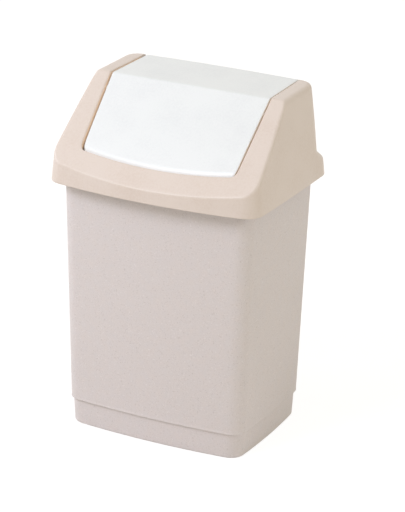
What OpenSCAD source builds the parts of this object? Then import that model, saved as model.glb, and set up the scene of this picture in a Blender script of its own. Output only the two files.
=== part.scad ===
// Swing-lid waste bin of about 25 litres: a tapered bucket, a hood that rests
// on the bucket's rim and lifts off, and a bent flap that swings inwards.
// Millimetres, +Z up, front towards -Y. The origin is the middle of the
// bin's footprint box, on the floor.

/* [Bucket] */
// Height of the bucket's rim above the floor
rim_h = 401; // [360:1:460]
// Width of the bucket at its rim, across the corners
rim_w = 307; // [290:1:330]
// Depth of the bucket at its rim, across the corners
rim_d = 229; // [220:1:245]
// How far each side wall draws in from the rim down to the shoulder
wall_taper = 7.9; // [4:0.1:11]
// Radius of the bucket's upright corners
bucket_r = 23; // [18:0.5:26]
// Outward bow of the front and back walls
bucket_bow = 6.2; // [4:0.1:7]
// Outward bow of the side walls
bucket_side_bow = 2.7; // [1:0.1:4]
// Thickness of the bucket's walls
bucket_wall = 1.8; // [1.5:0.1:2.4]
// Thickness of the bucket's floor
floor_t = 2.4; // [1.8:0.1:4]

/* [Plinth] */
// Height of the plinth below the shoulder
plinth_h = 40; // [32:1:55]
// How far the plinth stands in from the walls above it
plinth_inset = 2.4; // [2:0.1:5]
// How far the plinth draws in from its top to the floor
plinth_draft = 1.6; // [0.5:0.1:3]
// Height of the foot ring that the bin stands on
foot_h = 4; // [3:0.5:8]
// Width of the foot ring
foot_w = 12; // [10:1:18]

/* [Rim] */
// Width of the rim's flange outside the wall
flange_w = 8; // [6:0.5:9]
// Thickness of the flange and its lip
flange_t = 2; // [1.5:0.1:2.4]
// Height of the lip that hangs from the flange
lip_h = 10; // [7:0.5:12]

/* [Skirt] */
// How far the skirt stands out past the bucket's walls at the sides
skirt_out = 16.5; // [16:0.5:20]
// How far the skirt stands out past the bucket's wall at the front
skirt_front_out = 16; // [15:0.5:20]
// How far the skirt stands out past the bucket's wall at the back
skirt_back_out = 13.5; // [13.5:0.5:18]
// Outward bow of the skirt's front
skirt_bow = 11.5; // [8:0.5:13]
// Outward bow of the skirt's back
skirt_back_bow = 6; // [5:0.5:9]
// Radius of the skirt's upright corners
skirt_r = 28; // [26:0.5:34]
// How far the skirt hangs below the rim
skirt_drop = 13.5; // [12.5:0.5:18]
// Height of the skirt's front corners, up to the crease
crease_h = 30.5; // [27:0.5:36]
// Height of the skirt at the back
skirt_back_h = 26; // [22:0.5:30]

/* [Hood] */
// Thickness of the hood's walls
hood_wall = 2.2; // [1.8:0.1:2.6]
// Height of the hood's bend above the rim
bend_h = 128; // [120:0.5:136]
// Angle of the sloping front face from the level
slope_deg = 42; // [39.5:0.5:44]
// Depth of the top face, from the bend to the back
top_d = 104; // [97:0.5:110]
// Rise of the top face from the bend to the back
top_rise = 1.6; // [1:0.1:5]
// How far each side leans in from the skirt's foot to the bend
side_lean = 16.5; // [12:0.5:20]
// How far the back wall draws in from its foot to its top
back_lean = 4.5; // [2:0.5:7]
// Height of the ledge between the skirt and the back wall
ledge_h = 15.5; // [12:0.5:18]
// Radius of the hood's bend
bend_r = 8; // [5:0.5:12]
// Radius of the rounded edges along the sides of the top face
top_edge_r = 9; // [6:0.5:11]

/* [Opening] */
// Width of the hood's face beside the opening, at the bend
cheek_w = 23; // [19:0.5:27]
// How much wider that face is at the opening's front corners
cheek_flare = 5.5; // [3:0.5:8]
// How much wider it is at the back
cheek_back_flare = 2.5; // [0:0.5:4]
// Width of the hood's face in front of the opening, seen from above
sill_w = 22.5; // [20:0.5:28]
// Outward bow of the opening's front edge
mouth_bow = 7.5; // [6:0.5:10]
// Radius of the opening's front corners
mouth_r = 9; // [7:0.5:12]
// Depth of the walls that hang round the opening
curtain_d = 27; // [26.5:0.5:30]
// Thickness of the walls that hang round the opening
curtain_t = 2; // [1.6:0.1:2.5]

/* [Flap] */
// Thickness of the flap
flap_t = 2; // [1.6:0.1:2.4]
// How far the flap lies below the hood's faces at the bend and behind it
flap_recess = 0.8; // [0.7:0.1:1.4]
// How much deeper the flap lies at its front edge than at the bend
flap_sink = 2; // [0:0.1:2.2]
// Gap between the flap and the sides of the opening
side_gap = 3; // [2:0.1:3.5]
// Gap between the flap and the opening's front edge, seen from above
front_gap = 1.8; // [1.5:0.1:2.5]
// How far the flap's back edge stands in from the back wall
back_set = 0.8; // [0.5:0.1:1.5]
// Depth of the flap's turned-down sides and front
flap_side_d = 10; // [10:0.5:12]
// Height of the flap's back edge, which rests on the shelf
flap_back_h = 6.5; // [5.5:0.5:7.5]
// How far the shelf under that edge reaches forward
shelf_w = 9; // [7:0.5:12]

/* [Hinge] */
// Distance from the bend forward to the pivot
pivot_front = 12; // [10.5:0.5:13]
// Depth of the pivot below the sloping face
pivot_depth = 8.5; // [8.4:0.1:9.5]
// Radius of the flap's pivot pins
pin_r = 4; // [3:0.1:4.2]
// Wall round the pivot pins and their holes
boss_wall = 2.6; // [2:0.1:2.8]
// Length of the bosses on the hood's side of the opening
boss_len = 5; // [4:0.5:8]
// Length of the bosses inside the flap's sides
flap_boss_len = 6; // [4:0.5:10]
// How far the flap swings open
open_deg = 75; // [65:1:80]

/* [Hidden] */

run_clear = 0.06;      // radial clearance of the pivot pins in their holes
rest_gap = 0.3;        // gap under the flap's back edge, and at its open stops
pin_end_gap = 1;       // free depth beyond each pin's end
rim_fit = 0.6;         // play between the rim and the hood's ribs
edge_r = 1.2;          // small radii of rim and shoulder
foot_edge = 4;         // radius at the bottom edge of the plinth
cove_r = 4;            // cove round the bucket's floor inside
skirt_side_bow = 1;    // outward bow of the skirt's sides
front_lean = 0.062;    // lean of the skirt's front, mm for each mm of height
back_skirt_lean = 3.4; // how far the skirt's back leans in over its height
upper_r = 21;          // upright corner radius at the top of the hood
top_bow = 3.5;         // outward bow of the hood's back wall
side_crown = 1.2;      // outward crown of the hood's sides, half way up
rib_t = 1.8;           // thickness of the hood's seat ribs
rib_reach = 5;         // how far a rib reaches in over the rim's flange
rib_h = 16;            // height of the seat ribs above the rim
rib_lift = 3;          // how far the ribs end above the skirt's foot
curtain_lift = 6;      // how far the curtain walls end above the rim
stop_r = 3;            // radius of the open stops
stop_at = 12;          // distance of an open stop along the open flap
stop_reach = 1.5;      // how far an open stop reaches past the flap's side
shelf_gap = 4;         // gap between the shelf and the flap's turned-down sides
fine_n = 8;            // steps along each side of an outline
corner_n = 6;          // steps round each corner of an outline
arc_n = 6;             // steps round a profile's arc
far = 260;             // half-length of a cutting prism
cut = 1;               // how far a cut runs past a face

skirt_z = rim_h - skirt_drop;
bend_z = rim_h + bend_h;
back_z = bend_z + top_rise;
skirt_half = rim_w / 2 + skirt_out;
skirt_front = rim_d / 2 + skirt_front_out;
skirt_back = rim_d / 2 + skirt_back_out;
top_half = skirt_half - side_lean;
crease_y = -skirt_front + front_lean * crease_h;
bend_y = crease_y + (bend_z - skirt_z - crease_h) / tan(slope_deg);
back_top = bend_y + top_d;
back_foot = back_top + back_lean;
top_deg = atan2(top_rise, top_d);
foot_z = skirt_z + skirt_back_h + ledge_h;
edge_z = back_z - top_edge_r;
// The bin's footprint box runs from the skirt's front to its back.
shift_y = (skirt_front + skirt_bow - skirt_back - skirt_back_bow) / 2;

mouth_half = top_half - cheek_w;
mouth_front_half = mouth_half - cheek_flare;
mouth_back_half = mouth_half - cheek_back_flare;
mouth_front = crease_y + sill_w;
mouth_reach = bend_y - mouth_front;
shelf_z = back_z - flap_recess - flap_back_h - rest_gap;

// The flap's own slope, a little steeper than the hood's.
flap_deg = slope_deg + asin(flap_sink * cos(slope_deg) / mouth_reach);
pivot_y = bend_y - pivot_front;
pivot_z = bend_z - pivot_front * tan(flap_deg) - pivot_depth / cos(flap_deg);
pivot_half = mouth_half - cheek_flare * pivot_front / mouth_reach;
boss_r = pin_r + boss_wall;

function mix(a, b, t) = a + (b - a) * t;

// One bowed side of an outline, from p to q, grown by r along its normal.
function side_points(p, q, bow, r) =
    let (len = norm(q - p), dir = (q - p) / len, out = [dir[1], -dir[0]])
    [for (i = [0 : fine_n])
        let (u = 2 * i / fine_n - 1,
             tan = dir - out * (4 * u * bow / len),
             n = [tan[1], -tan[0]] / norm(tan))
        p + dir * len * i / fine_n + out * bow * (1 - u * u) + n * r];

// The points between the two ends of a round corner.
function corner_points(c, r, from, to) =
    [for (i = [1 : corner_n - 1])
        let (t = mix(from, to, i / corner_n)) c + r * [cos(t), sin(t)]];

// An outline seen from above: a rectangle with bowed sides and round corners.
// Half-width a, front and back distances f and k, bows of front, back and
// sides, corner radius r, and d, how far the whole outline is grown.
function outline(a, f, k, bow_f, bow_k, bow_s, r, d = 0) =
    let (x = a - r, yf = r - f, yk = k - r, rr = r + d,
         c = [[-x, yf], [x, yf], [x, yk], [-x, yk]],
         tf = atan2(2 * bow_f, x),
         tk = atan2(2 * bow_k, x),
         ts = atan2(4 * bow_s, yk - yf))
    concat(
        side_points(c[0], c[1], bow_f, rr),
        corner_points(c[1], rr, -90 + tf, -ts),
        side_points(c[1], c[2], bow_s, rr),
        corner_points(c[2], rr, ts, 90 - tk),
        side_points(c[2], c[3], bow_k, rr),
        corner_points(c[3], rr, 90 + tk, 180 - ts),
        side_points(c[3], c[0], bow_s, rr),
        corner_points(c[0], rr, 180 + ts, 270 - tf));

function raised(points, z) = [for (p = points) [p[0], p[1], z]];

// A closed solid through a list of rings that all have as many points.
module loft(rings) {
    n = len(rings[0]);
    m = len(rings);
    sides = [for (j = [0 : m - 2]) for (i = [0 : n - 1])
        let (k = (i + 1) % n, a = j * n + i, b = j * n + k)
        each [[a, a + n, b], [b, a + n, b + n]]];
    bottom = [[for (i = [0 : n - 1]) i]];
    top = [[for (i = [n - 1 : -1 : 0]) (m - 1) * n + i]];
    polyhedron(points = [for (ring = rings) each ring],
               faces = concat(sides, bottom, top));
}

// A prism along X whose side view is the polygon given.
module along_x(points) {
    rotate([90, 0, 90])
        translate([0, 0, -far])
            linear_extrude(2 * far) polygon(points);
}

// An upright prism between two heights.
module upright(points, z0, z1) {
    translate([0, 0, z0]) linear_extrude(z1 - z0) polygon(points);
}

// A cylinder between two distances out from the middle, on side s, along a
// line at y and z.
module side_rod(s, r, x0, x1, y, z) {
    translate([s * x0, y, z])
        rotate([0, s * 90, 0]) cylinder(r = r, h = x1 - x0, $fn = 48);
}

// The bucket's outline at height z, grown by d.
function bucket_ring(z, d) =
    let (s = wall_taper * (rim_h - z) / (rim_h - plinth_h))
    raised(outline(rim_w / 2 - s, rim_d / 2 - s, rim_d / 2 - s,
                   bucket_bow, bucket_bow, bucket_side_bow, bucket_r, d), z);

// The plinth's outline: the shoulder's, drawn in.
function plinth_ring(z, d) =
    let (s = wall_taper + plinth_inset + plinth_draft * (plinth_h - z) / plinth_h)
    raised(outline(rim_w / 2 - s, rim_d / 2 - s, rim_d / 2 - s,
                   bucket_bow, bucket_bow, bucket_side_bow, bucket_r, d), z);

// The bucket is one skin: up the outside, over the rim and down the inside.
module bucket_solid() {
    floor_z = foot_h + floor_t;
    quarter = [30, 60, 90];
    loft(concat(
        [plinth_ring(foot_h, -foot_w - foot_h / 4),
         plinth_ring(0, -foot_w),
         plinth_ring(0, -foot_edge)],
        [for (t = quarter)
            plinth_ring(foot_edge * (1 - cos(t)), -foot_edge * (1 - sin(t)))],
        [plinth_ring(plinth_h, 0),
         bucket_ring(plinth_h, -edge_r),
         bucket_ring(plinth_h + edge_r * 0.3, -edge_r * 0.3),
         bucket_ring(plinth_h + edge_r, 0),
         bucket_ring(rim_h - flange_t, 0),
         bucket_ring(rim_h - flange_t, flange_w - flange_t),
         bucket_ring(rim_h - lip_h, flange_w - flange_t),
         bucket_ring(rim_h - lip_h, flange_w),
         bucket_ring(rim_h - edge_r, flange_w),
         bucket_ring(rim_h - edge_r * 0.3, flange_w - edge_r * 0.3),
         bucket_ring(rim_h, flange_w - edge_r),
         bucket_ring(rim_h, edge_r - bucket_wall),
         bucket_ring(rim_h - edge_r, -bucket_wall),
         bucket_ring(plinth_h + bucket_wall, -bucket_wall),
         plinth_ring(plinth_h + bucket_wall - edge_r, -bucket_wall),
         plinth_ring(floor_z + cove_r, -bucket_wall)],
        [for (t = quarter)
            plinth_ring(floor_z + cove_r * (1 - sin(t)),
                        -bucket_wall - cove_r * (1 - cos(t)))]));
}

// Half-width of the hood's side at height z: a lean with a slight crown.
function hood_half(z) =
    let (t = (z - skirt_z) / (bend_z - skirt_z))
    mix(skirt_half, top_half, t) + 4 * side_crown * t * (1 - t);

function back_at(z) = mix(back_foot, back_top, (z - foot_z) / (back_z - foot_z));
function hood_r(z) = mix(skirt_r, upper_r, (z - skirt_z) / (back_z - skirt_z));

// The hood's outline at height z, grown by d, with its back at the distance
// and with the bow given.
function hood_ring(z, d, back, bow) =
    raised(outline(hood_half(z), skirt_front - front_lean * (z - skirt_z), back,
                   skirt_bow, bow, skirt_side_bow, hood_r(z), d), z);

// The hood before its roof is cut, grown by d. Below, it runs on by low, and
// the ledge at its back is drop lower.
module hood_body(d, low = 0, drop = 0) {
    ledge_z = skirt_z + skirt_back_h;
    loft(concat(
        [hood_ring(skirt_z - low, d, skirt_back, skirt_back_bow),
         hood_ring(ledge_z - drop, d, skirt_back - back_skirt_lean, skirt_back_bow),
         hood_ring(foot_z - drop, d, back_foot, top_bow)],
        [for (z = [mix(foot_z, edge_z, 0.5), edge_z])
            hood_ring(z, d, back_at(z), top_bow)],
        [for (t = [30, 60, 90])
            let (z = edge_z + top_edge_r * sin(t))
            hood_ring(z, d - top_edge_r * (1 - cos(t)), back_at(z), top_bow)]));
}

// The roof line seen from the side, t below the faces: up a slope of deg
// from y = -far, round the bend, and back to y = far.
function roof_line(t, deg = slope_deg) =
    let (half = (deg - top_deg) / 2,
         mid = (deg + top_deg) / 2,
         r = max(bend_r - t, edge_r),
         c = [bend_y, bend_z] + (r + t) / cos(half) * [sin(mid), -cos(mid)],
         arc = [for (i = [0 : arc_n])
             let (g = mix(deg, top_deg, i / arc_n))
             c + r * [-sin(g), cos(g)]],
         first = arc[0],
         last = arc[arc_n])
    concat([[-far, first[1] - (far + first[0]) * tan(deg)]],
           arc,
           [[far, last[1] + (far - last[0]) * tan(top_deg)]]);

// All that lies t or more below the hood's faces.
module under_roof(t) {
    along_x(concat(roof_line(t), [[far, -far], [-far, -far]]));
}

// What lies between two depths below the faces of a roof that slopes by deg.
module roof_band(t0, t1, deg = slope_deg) {
    lower = roof_line(t1, deg);
    along_x(concat(roof_line(t0, deg), [for (i = [len(lower) - 1 : -1 : 0]) lower[i]]));
}

// The opening seen from above, grown by d at the sides and e at the front,
// with its back edge at the distance given.
function mouth_outline(d, e, back) =
    let (r = mouth_r + d,
         c = [mouth_front_half + d - r, mouth_front - e + r],
         bow_deg = atan2(2 * mouth_bow, c[0]),
         side_deg = atan2(cheek_flare, mouth_reach),
         front = [for (i = [0 : 2 * fine_n])
             let (u = i / fine_n - 1)
             [u * c[0] + r * sin(bow_deg * u),
              c[1] - r * cos(bow_deg * u) - mouth_bow * (1 - u * u)]],
         right = [for (i = [1 : arc_n])
             let (g = mix(bow_deg - 90, -side_deg, i / arc_n))
             c + r * [cos(g), sin(g)]],
         behind = [for (i = [0 : 2 * fine_n])
             let (u = 1 - i / fine_n)
             [u * (mouth_back_half + d), back + top_bow * (1 - u * u)]],
         left = [for (i = [len(right) - 1 : -1 : 0]) [-right[i][0], right[i][1]]])
    concat(front, right, [[mouth_half + d, bend_y]], behind,
           [[-mouth_half - d, bend_y]], left);

module hood_shell() {
    difference() {
        intersection() {
            hood_body(0);
            under_roof(0);
        }
        intersection() {
            hood_body(-hood_wall, cut, hood_wall);
            under_roof(hood_wall);
        }
        upright(mouth_outline(0, 0, back_top - 2 * hood_wall), skirt_z, back_z + far);
        upright(mouth_outline(0, 0, back_top + hood_wall), shelf_z, back_z + far);
    }
}

// The curtain walls that hang round the opening.
module curtain() {
    intersection() {
        difference() {
            upright(mouth_outline(curtain_t, curtain_t, back_top - hood_wall / 2),
                    rim_h + curtain_lift, back_z + cut);
            upright(mouth_outline(0, 0, back_top), rim_h, back_z + far);
        }
        roof_band(hood_wall / 2, curtain_d);
    }
}

// The shelf at the back of the opening, where the flap's back edge rests.
module shelf() {
    half = mouth_back_half + curtain_t / 2;
    translate([-half, back_top - hood_wall - shelf_w, shelf_z - hood_wall])
        cube([2 * half, shelf_w + far, hood_wall]);
}

// A seat rib at a place on the rim's outer edge, turned to face outwards: it
// lies over the flange and hangs down outside it.
module seat_rib(x, y, turn) {
    drop = skirt_drop - rib_lift;
    out = skirt_front_out;
    translate([x, y, rim_h])
        rotate([0, 0, turn])
            translate([0, -rib_t / 2, 0]) {
                translate([-rib_reach, 0, 0]) cube([rib_reach + out, rib_t, rib_h]);
                translate([rim_fit, 0, -drop]) cube([out, rib_t, drop + cut]);
            }
}

// How far a bowed wall of half-length a stands out at a distance x along it.
function bow_at(bow, a, x) = bow * (1 - pow(x / (a - bucket_r), 2));

module seat_ribs() {
    for (s = [-1, 1]) {
        for (y = [-rim_d / 5, rim_d / 5])
            seat_rib(s * (rim_w / 2 + bow_at(bucket_side_bow, rim_d / 2, y) + flange_w),
                     y, 90 - s * 90);
        for (x = [rim_w / 8, rim_w / 3])
            for (t = [-1, 1])
                seat_rib(s * x, t * (rim_d / 2 + bow_at(bucket_bow, rim_w / 2, x) + flange_w),
                         t * 90);
    }
}

// What carries the flap on side s: a boss round the pivot's hole, and a stop
// that the flap's turned-down side meets when it is open.
module hinge_seat(s) {
    open = flap_deg + open_deg;
    away = flap_recess + flap_side_d - pivot_depth + stop_r + rest_gap;
    stop = [pivot_y, pivot_z] + away * [sin(open), -cos(open)]
        - stop_at * [cos(open), sin(open)];
    side_rod(s, boss_r, pivot_half, pivot_half + curtain_t + boss_len, pivot_y, pivot_z);
    side_rod(s, stop_r, pivot_half - side_gap - stop_reach, pivot_half + curtain_t,
             stop[0], stop[1]);
}

module hood_solid() {
    difference() {
        union() {
            hood_shell();
            curtain();
            intersection() {
                union() {
                    shelf();
                    seat_ribs();
                }
                hood_body(-hood_wall / 2);
                under_roof(hood_wall / 2);
            }
            hinge_seat(-1);
            hinge_seat(1);
        }
        for (s = [-1, 1])
            side_rod(s, pin_r + run_clear, pivot_half - cut,
                     pivot_half + curtain_t + boss_len + cut, pivot_y, pivot_z);
    }
}

module flap_solid() {
    back = back_top - back_set;
    side = pivot_half - side_gap;
    intersection() {
        upright(mouth_outline(-side_gap, -front_gap, back), rim_h, back_z + far);
        roof_band(flap_recess, flap_recess + flap_t, flap_deg);
    }
    intersection() {
        difference() {
            upright(mouth_outline(-side_gap, -front_gap, back), rim_h, back_z + far);
            upright(mouth_outline(-side_gap - flap_t, -front_gap - flap_t, back - flap_t),
                    rim_h - cut, back_z + 2 * far);
        }
        roof_band(flap_recess, flap_recess + flap_side_d, flap_deg);
        union() {
            translate([-far, -far, 0])
                cube([2 * far, far + back_top - hood_wall - shelf_w - shelf_gap, 4 * far]);
            translate([-far, 0, shelf_z + rest_gap]) cube([2 * far, far, far]);
        }
    }
    for (s = [-1, 1]) {
        side_rod(s, boss_r, side - flap_boss_len, side - flap_t / 2, pivot_y, pivot_z);
        side_rod(s, pin_r, side - flap_boss_len,
                 pivot_half + curtain_t + boss_len - pin_end_gap, pivot_y, pivot_z);
    }
}

module bucket() {
    color([0.84, 0.80, 0.78]) translate([0, shift_y, 0]) bucket_solid();
}

module hood() {
    color([0.91, 0.85, 0.79]) translate([0, shift_y, 0]) hood_solid();
}

module flap() {
    color([0.97, 0.97, 0.96]) translate([0, shift_y, 0]) flap_solid();
}

bucket();
hood();
flap();
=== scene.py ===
"""A swing-lid waste bin: a speckled bucket, a beige hood that rests on its rim,
and a white flap bent over the hood's edge, which swings inwards."""

import math
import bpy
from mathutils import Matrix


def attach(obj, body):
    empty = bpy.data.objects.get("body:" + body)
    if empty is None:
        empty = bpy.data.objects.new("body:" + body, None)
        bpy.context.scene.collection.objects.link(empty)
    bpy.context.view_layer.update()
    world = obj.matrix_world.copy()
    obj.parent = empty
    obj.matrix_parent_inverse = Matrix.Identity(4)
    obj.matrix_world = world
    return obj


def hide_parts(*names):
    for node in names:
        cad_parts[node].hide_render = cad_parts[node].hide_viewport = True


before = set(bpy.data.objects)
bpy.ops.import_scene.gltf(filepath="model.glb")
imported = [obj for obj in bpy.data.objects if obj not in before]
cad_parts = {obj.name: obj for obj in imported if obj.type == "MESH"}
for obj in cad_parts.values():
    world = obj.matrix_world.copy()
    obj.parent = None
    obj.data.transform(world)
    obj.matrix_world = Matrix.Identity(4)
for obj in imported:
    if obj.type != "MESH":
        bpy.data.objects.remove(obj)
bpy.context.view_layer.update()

from types import SimpleNamespace

import bmesh
import bpy
import numpy as np
from bpy.props import FloatProperty, FloatVectorProperty, PointerProperty
from mathutils import Matrix, Vector

bl_info = {
    "name": "Swing-Lid Waste Bin",
    "version": (1, 0, 0),
    "blender": (4, 5, 0),
    "location": "3D View > Sidebar > Waste Bin",
    "description": "Moulded bucket, lift-off hood and swing flap of a waste bin",
    "category": "Add Mesh",
}

# Lengths below are in millimetres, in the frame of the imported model.
EDGE_R = 1.2  # small radii of the rim
COVE_R = 4.0  # cove round the bucket's floor
LIP_R = 1.7  # rounded lip of the bucket's shoulder
LIP_BEAD = 0.5  # how far the lip swells out of the wall
FOOT_EDGE = 4.0  # radius at the bottom edge of the plinth
SKIRT_SIDE_BOW = 1.0  # outward bow of the skirt's sides
FRONT_LEAN = 0.062  # lean of the skirt's front, mm for each mm of height
BACK_SKIRT_LEAN = 3.4  # how far the skirt's back leans in over its height
UPPER_R = 21.0  # upright corner radius at the top of the hood
TOP_BOW = 3.5  # outward bow of the hood's back wall
SIDE_CROWN = 1.2  # outward crown of the hood's sides, half way up
LEDGE_SOFT = 3.0  # half the height over which the ledge's edges are rounded
REST_GAP = 0.3  # gap under the flap's back edge, and at its open stops
CURTAIN_LIFT = 6.0  # how far the curtain walls end above the rim
STOP_R = 3.0  # radius of the open stops
STOP_AT = 12.0  # distance of an open stop along the open flap
STOP_REACH = 1.5  # how far an open stop reaches past the flap's side
SHELF_GAP = 4.0  # gap between the shelf and the flap's turned-down sides
NOSE_WALL = 1.5  # how much thicker than its sides the flap's front wall is
NOSE_LENGTH = 38.0  # the part of the flap, seen from above, that curves down
NOSE_DROP = 2.2  # how far it has curved down at the opening's front corners
RIB_T = 1.8  # thickness of the hood's seat ribs
RIB_REACH = 5.0  # how far a rib reaches in over the rim's flange
RIB_H = 16.0  # height of the seat ribs above the rim
RIB_LIFT = 3.0  # how far the ribs end above the skirt's foot
RIM_FIT = 0.6  # play between the rim and the ribs
PIN_PLAY = 0.06  # play round the flap's pins
FLAP_PLAY = 0.4  # how far the flap lies to the right in its bearings
GLOW_IN = (0.5, 4.0)  # depths over which the painted glow and painted warm shade in the gaps come up
GLOW_DEEP = (6.0, 13.0)  # depths over which it fades out
# Places behind the bend where the hood's rounded edge changes its size, and
# how far it has gone there from that beside the slope to that beside the top.
BEND_AT, BEND_SHARE = (-12, -7, -3, 1, 8), (0, 0.1, 0.4, 0.85, 1)
BEND_CLEAR = 3  # distance from those places to the next column of points
CHEEK_FADE = 25  # how far before the bend the opening's columns are level again
FLAP_FADE = 20  # how far before and behind the bend the flap's rows are in step
FACE_FADE = 15  # how far behind the bend the bow of the flap's back sets in
MOUTH_TOP = 0.55  # the opening's edge beside the top face, against mouth_edge
NUDGE = 0.05  # half of a step that counts as one place
TURN_STEPS = 40  # points round a pin, a boss or a stop

MERGE = 2e-6  # in metres, the distance below which two points are one
CREASE = math.radians(36)  # an edge sharper than this is shaded as an edge

# The finishes, with colours as linear red, green, blue and alpha.
PLASTIC_IOR = 1.49  # polypropylene
TEXTURE_M = 0.0003  # depth of the mould's texture in metres, at full strength
TEXTURE_MM, GRAIN_MM = 1.2, 3.0  # of the plain plastic's texture and grain
DRIFT_MM, DRIFT_SHARE = 60, 0.55  # its slow change of colour, beside the grain
DRIFT_ENDS = (0.3, 0.55)  # where one colour ends and where the other is full
# A painted warm shade (a multiply tint) and a painted glow (emission) for the walls round the
# hood's opening, standing in for light that bounces in and comes through the thin plastic.
PAINTED_GAP_TINT, PAINTED_GAP_GLOW = (1.0, 0.88, 0.72, 1.0), (0.27, 0.175, 0.105, 1.0)
MELT_MM = 12  # of the bucket's change from a warmer to a cooler tone
MELT_WARM, MELT_COOL = (1.0, 0.982, 0.964, 1.0), (0.964, 0.982, 1.0, 1.0)
# The dark, the light and the large dark specks: their size in millimetres, and
# the values of the noise at which they set in and are full.
SPECKS = ((1.9, 0.58, 0.74), (2.4, 0.58, 0.72), (4.0, 0.62, 0.84))
SPECK_SHARE = 0.5  # how much of its own colour a full speck shows

# The stage, in metres and degrees.
FLOOR_HALF, FLOOR_PAINT = 12.0, "#F4F2F0"
FLOOR_WHITE = 1.17  # strength of the white that the camera sees as the floor
FLOOR_LIFT = 0.75  # its share, beside the painted floor with the bin's shadow
SKY_TINT = (1.0, 0.938, 0.759, 1.0)
LAMP_TARGET = (0.0, 0.0, 0.3)
CAMERA_TURN = (26.431, 20.804, 1.447)  # azimuth, elevation and roll
CAMERA_TARGET, CAMERA_DISTANCE = (0.02484, 0.004, 0.26620), 3.5988
FOCAL_PX, PHOTO_PX = 2425.4, 512  # focal length, and the photograph's height
SENSOR_MM = 36.0


def length(name, text, mm):
    """A length that a user would change, with its default in millimetres."""
    return FloatProperty(
        name=name, description=text, default=mm / 1000, min=0.0, precision=4, unit="LENGTH"
    )


def degrees(name, text, value):
    """An angle that a user would change, with its default in degrees."""
    return FloatProperty(
        name=name, description=text, default=math.radians(value), subtype="ANGLE"
    )


def watts(name, text, value):
    """The power of a lamp, with its default in watts."""
    return FloatProperty(name=name, description=text, default=value, subtype="POWER")


def colour(name, text, code):
    """A colour that a user would change, with its default as an sRGB hex code."""
    return FloatVectorProperty(
        name=name, description=text, default=linear(code), size=4, min=0, max=1, subtype="COLOR"
    )


def linear(code):
    """The linear red, green, blue and alpha of an sRGB hex code: each channel
    divided by 12.92 when it is small, and else ((c + 0.055) / 1.055) ^ 2.4."""
    c = np.array([int(code[i : i + 2], 16) for i in (1, 3, 5)]) / 255
    lin = np.where(c <= 0.04045, c / 12.92, ((c + 0.055) / 1.055) ** 2.4)
    return (*lin.tolist(), 1.0)


class BinBucket(bpy.types.PropertyGroup):
    """Sizes of the bucket, its plinth and its rim."""

    rim_h: length("Rim height", "Height of the bucket's rim above the floor", 401)
    rim_w: length("Rim width", "Width of the bucket at its rim, across the corners", 307)
    rim_d: length("Rim depth", "Depth of the bucket at its rim, across the corners", 229)
    wall_taper: length("Taper", "How far each wall draws in down to the shoulder", 7.9)
    bucket_r: length("Corner radius", "Radius of the bucket's upright corners", 23)
    bucket_bow: length("Front bow", "Outward bow of the front and back walls", 6.2)
    bucket_side_bow: length("Side bow", "Outward bow of the side walls", 2.7)
    bucket_wall: length("Wall", "Thickness of the bucket's walls", 1.8)
    floor_t: length("Floor", "Thickness of the bucket's floor", 2.4)
    plinth_h: length("Plinth height", "Height of the plinth below the shoulder", 40)
    plinth_inset: length("Plinth inset", "How far the plinth stands in from the walls", 2.4)
    plinth_draft: length("Plinth draft", "How far the plinth draws in to the floor", 1.6)
    foot_h: length("Foot height", "Height of the foot ring", 4)
    foot_w: length("Foot width", "Width of the foot ring", 12)
    flange_w: length("Flange width", "Width of the rim's flange outside the wall", 8)
    flange_t: length("Flange thickness", "Thickness of the flange and its lip", 2)
    lip_h: length("Lip height", "Height of the lip that hangs from the flange", 10)


class BinHood(bpy.types.PropertyGroup):
    """Sizes of the hood, its skirt and its opening."""

    skirt_out: length("Skirt out", "How far the skirt stands out at the sides", 16.5)
    skirt_front_out: length("Front out", "How far it stands out at the front", 16)
    skirt_back_out: length("Back out", "How far it stands out at the back", 13.5)
    skirt_bow: length("Skirt bow", "Outward bow of the skirt's front", 11.5)
    skirt_back_bow: length("Back bow", "Outward bow of the skirt's back", 6)
    skirt_r: length("Skirt radius", "Radius of the skirt's upright corners", 28)
    skirt_drop: length("Skirt drop", "How far the skirt hangs below the rim", 13.5)
    crease_h: length("Crease height", "Height of the skirt's front corners", 30.5)
    skirt_back_h: length("Back height", "Height of the skirt at the back", 26)
    hood_wall: length("Wall", "Thickness of the hood's walls", 2.2)
    bend_h: length("Bend height", "Height of the hood's bend above the rim", 128)
    slope: degrees("Slope", "Angle of the sloping front face from the level", 42)
    top_d: length("Top depth", "Depth of the top face, from the bend to the back", 104)
    top_rise: length("Top rise", "Rise of the top face from the bend to the back", 1.6)
    side_lean: length("Side lean", "How far each side leans in up to the bend", 16.5)
    back_lean: length("Back lean", "How far the back wall draws in to its top", 4.5)
    ledge_h: length("Ledge height", "Height of the ledge above the skirt's back", 14)
    bend_r: length("Bend radius", "Radius of the hood's bend", 8)
    top_edge_r: length("Top edge", "Size of the rounded edges beside the top face", 8.5)
    slope_edge: length("Slope edge", "Size of the rounded edges beside the slope", 4.5)
    crease_edge: length("Crease edge", "Size of the rounded crease above the skirt", 2.2)
    rear_edge: length("Rear edge", "Size of the rounded edge at the back", 5.5)
    cheek_w: length("Cheek width", "Width of the face beside the opening at the bend", 23)
    cheek_flare: length("Cheek flare", "How much wider it is at the front corners", 5.5)
    cheek_back_flare: length("Back flare", "How much wider it is at the back", 2.5)
    sill_w: length("Sill width", "Width of the face in front of the opening", 22.5)
    mouth_bow: length("Opening bow", "Outward bow of the opening's front edge", 7.5)
    mouth_r: length("Opening radius", "Radius of the opening's front corners", 9)
    mouth_edge: length("Opening edge", "Size of the rounded edge of the opening", 3.2)
    curtain_d: length("Curtain depth", "Depth of the walls round the opening", 27)
    curtain_t: length("Curtain wall", "Thickness of the walls round the opening", 2)
    shelf_w: length("Shelf", "How far the shelf under the flap reaches forward", 9)
    boss_len: length("Boss length", "Length of the bosses beside the opening", 5)


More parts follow.
